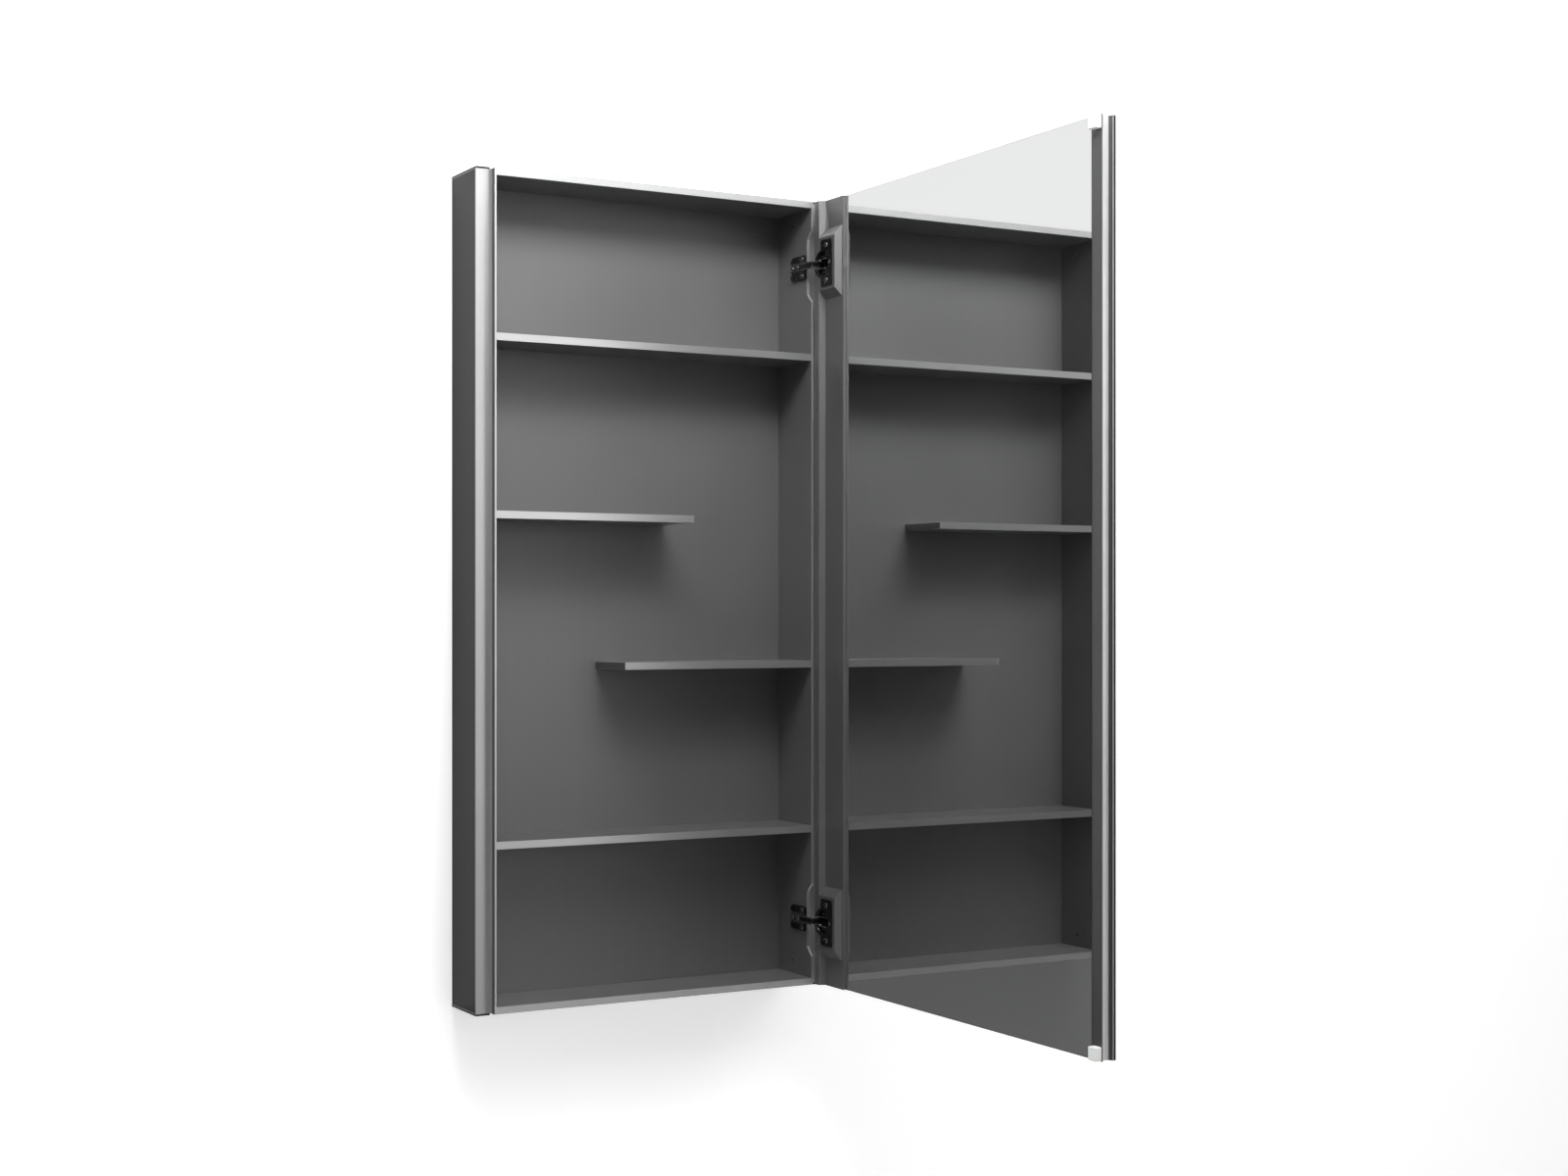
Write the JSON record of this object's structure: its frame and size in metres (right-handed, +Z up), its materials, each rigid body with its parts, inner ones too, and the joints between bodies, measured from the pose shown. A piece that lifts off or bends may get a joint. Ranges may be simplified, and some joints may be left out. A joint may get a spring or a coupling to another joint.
{
  "type": "medicine_cabinet",
  "caption": "Slim wall-hung medicine cabinet in dark anodised aluminium, with a full-height door mirrored inside and out, full shelves and staggered half shelves",
  "frame": {"origin": "centre of the cabinet's back, on the wall plane", "axes": "+X across the cabinet towards its hinge side, +Y into the wall with the room at -Y, +Z up"},
  "size_m": [0.5099, 0.5788, 1.016],
  "materials": {
    "back_sheet": "satin anodised, grey",
    "frame_aluminium": "brushed and anodised, grey",
    "cover_aluminium": "brushed and anodised, dark grey",
    "shelf_aluminium": "brushed and anodised, grey",
    "rail_steel": "zinc plated",
    "screw_steel": "bright",
    "screw_black": "black, semi-gloss",
    "hinge_black": "black, semi-gloss",
    "mirror_glass": "silvered float glass with dark edges",
    "core_board": "raw fibre board",
    "door_aluminium": "satin anodised, dark grey",
    "bumper_plastic": "translucent white",
    "pad_rubber": "moulded, matt black"
  },
  "bodies": {
    "cabinet": {"back_panel": "back_sheet", "top_panel": "frame_aluminium", "bottom_panel": "frame_aluminium", "left_wall": "frame_aluminium", "right_wall": "frame_aluminium", "left_side_cover": "cover_aluminium", "right_side_cover": "cover_aluminium", "side_cover_caps": "cover_aluminium", "corner_screws": "screw_steel", "back_screws": "screw_steel", "upper_shelf": "shelf_aluminium", "lower_shelf": "shelf_aluminium", "left_half_shelf": "shelf_aluminium", "right_half_shelf": "shelf_aluminium", "half_shelf_caps": "shelf_aluminium", "shelf_screws": "screw_steel", "hanging_rail": "rail_steel", "wall_cleat": "rail_steel", "rail_studs": "screw_steel", "wall_pad": "pad_rubber", "hinge_plate_upper": "hinge_black", "hinge_plate_lower": "hinge_black", "plate_screws": "screw_black", "hinge_arm_upper": "hinge_black", "hinge_arm_lower": "hinge_black", "arm_screws": "screw_steel"},
    "door": {"outer_mirror": "mirror_glass", "inner_mirror": "mirror_glass", "door_core": "core_board", "door_top_rail": "door_aluminium", "door_bottom_rail": "door_aluminium", "hinge_stile": "door_aluminium", "free_stile": "door_aluminium", "hinge_mount_upper": "door_aluminium", "hinge_mount_lower": "door_aluminium", "hinge_cup_upper": "hinge_black", "hinge_cup_lower": "hinge_black", "cup_screws": "screw_steel", "hinge_pin_upper": "screw_steel", "hinge_pin_lower": "screw_steel", "corner_bumper_upper": "bumper_plastic", "corner_bumper_lower": "bumper_plastic"}
  },
  "joints": [
    {"name": "door_swing", "type": "hinge", "parent": "cabinet", "child": "door", "pos_m": [0.24325, -0.0873, 0], "axis": [0, 0, 1], "range_deg": [-90, 15]}
  ]
}
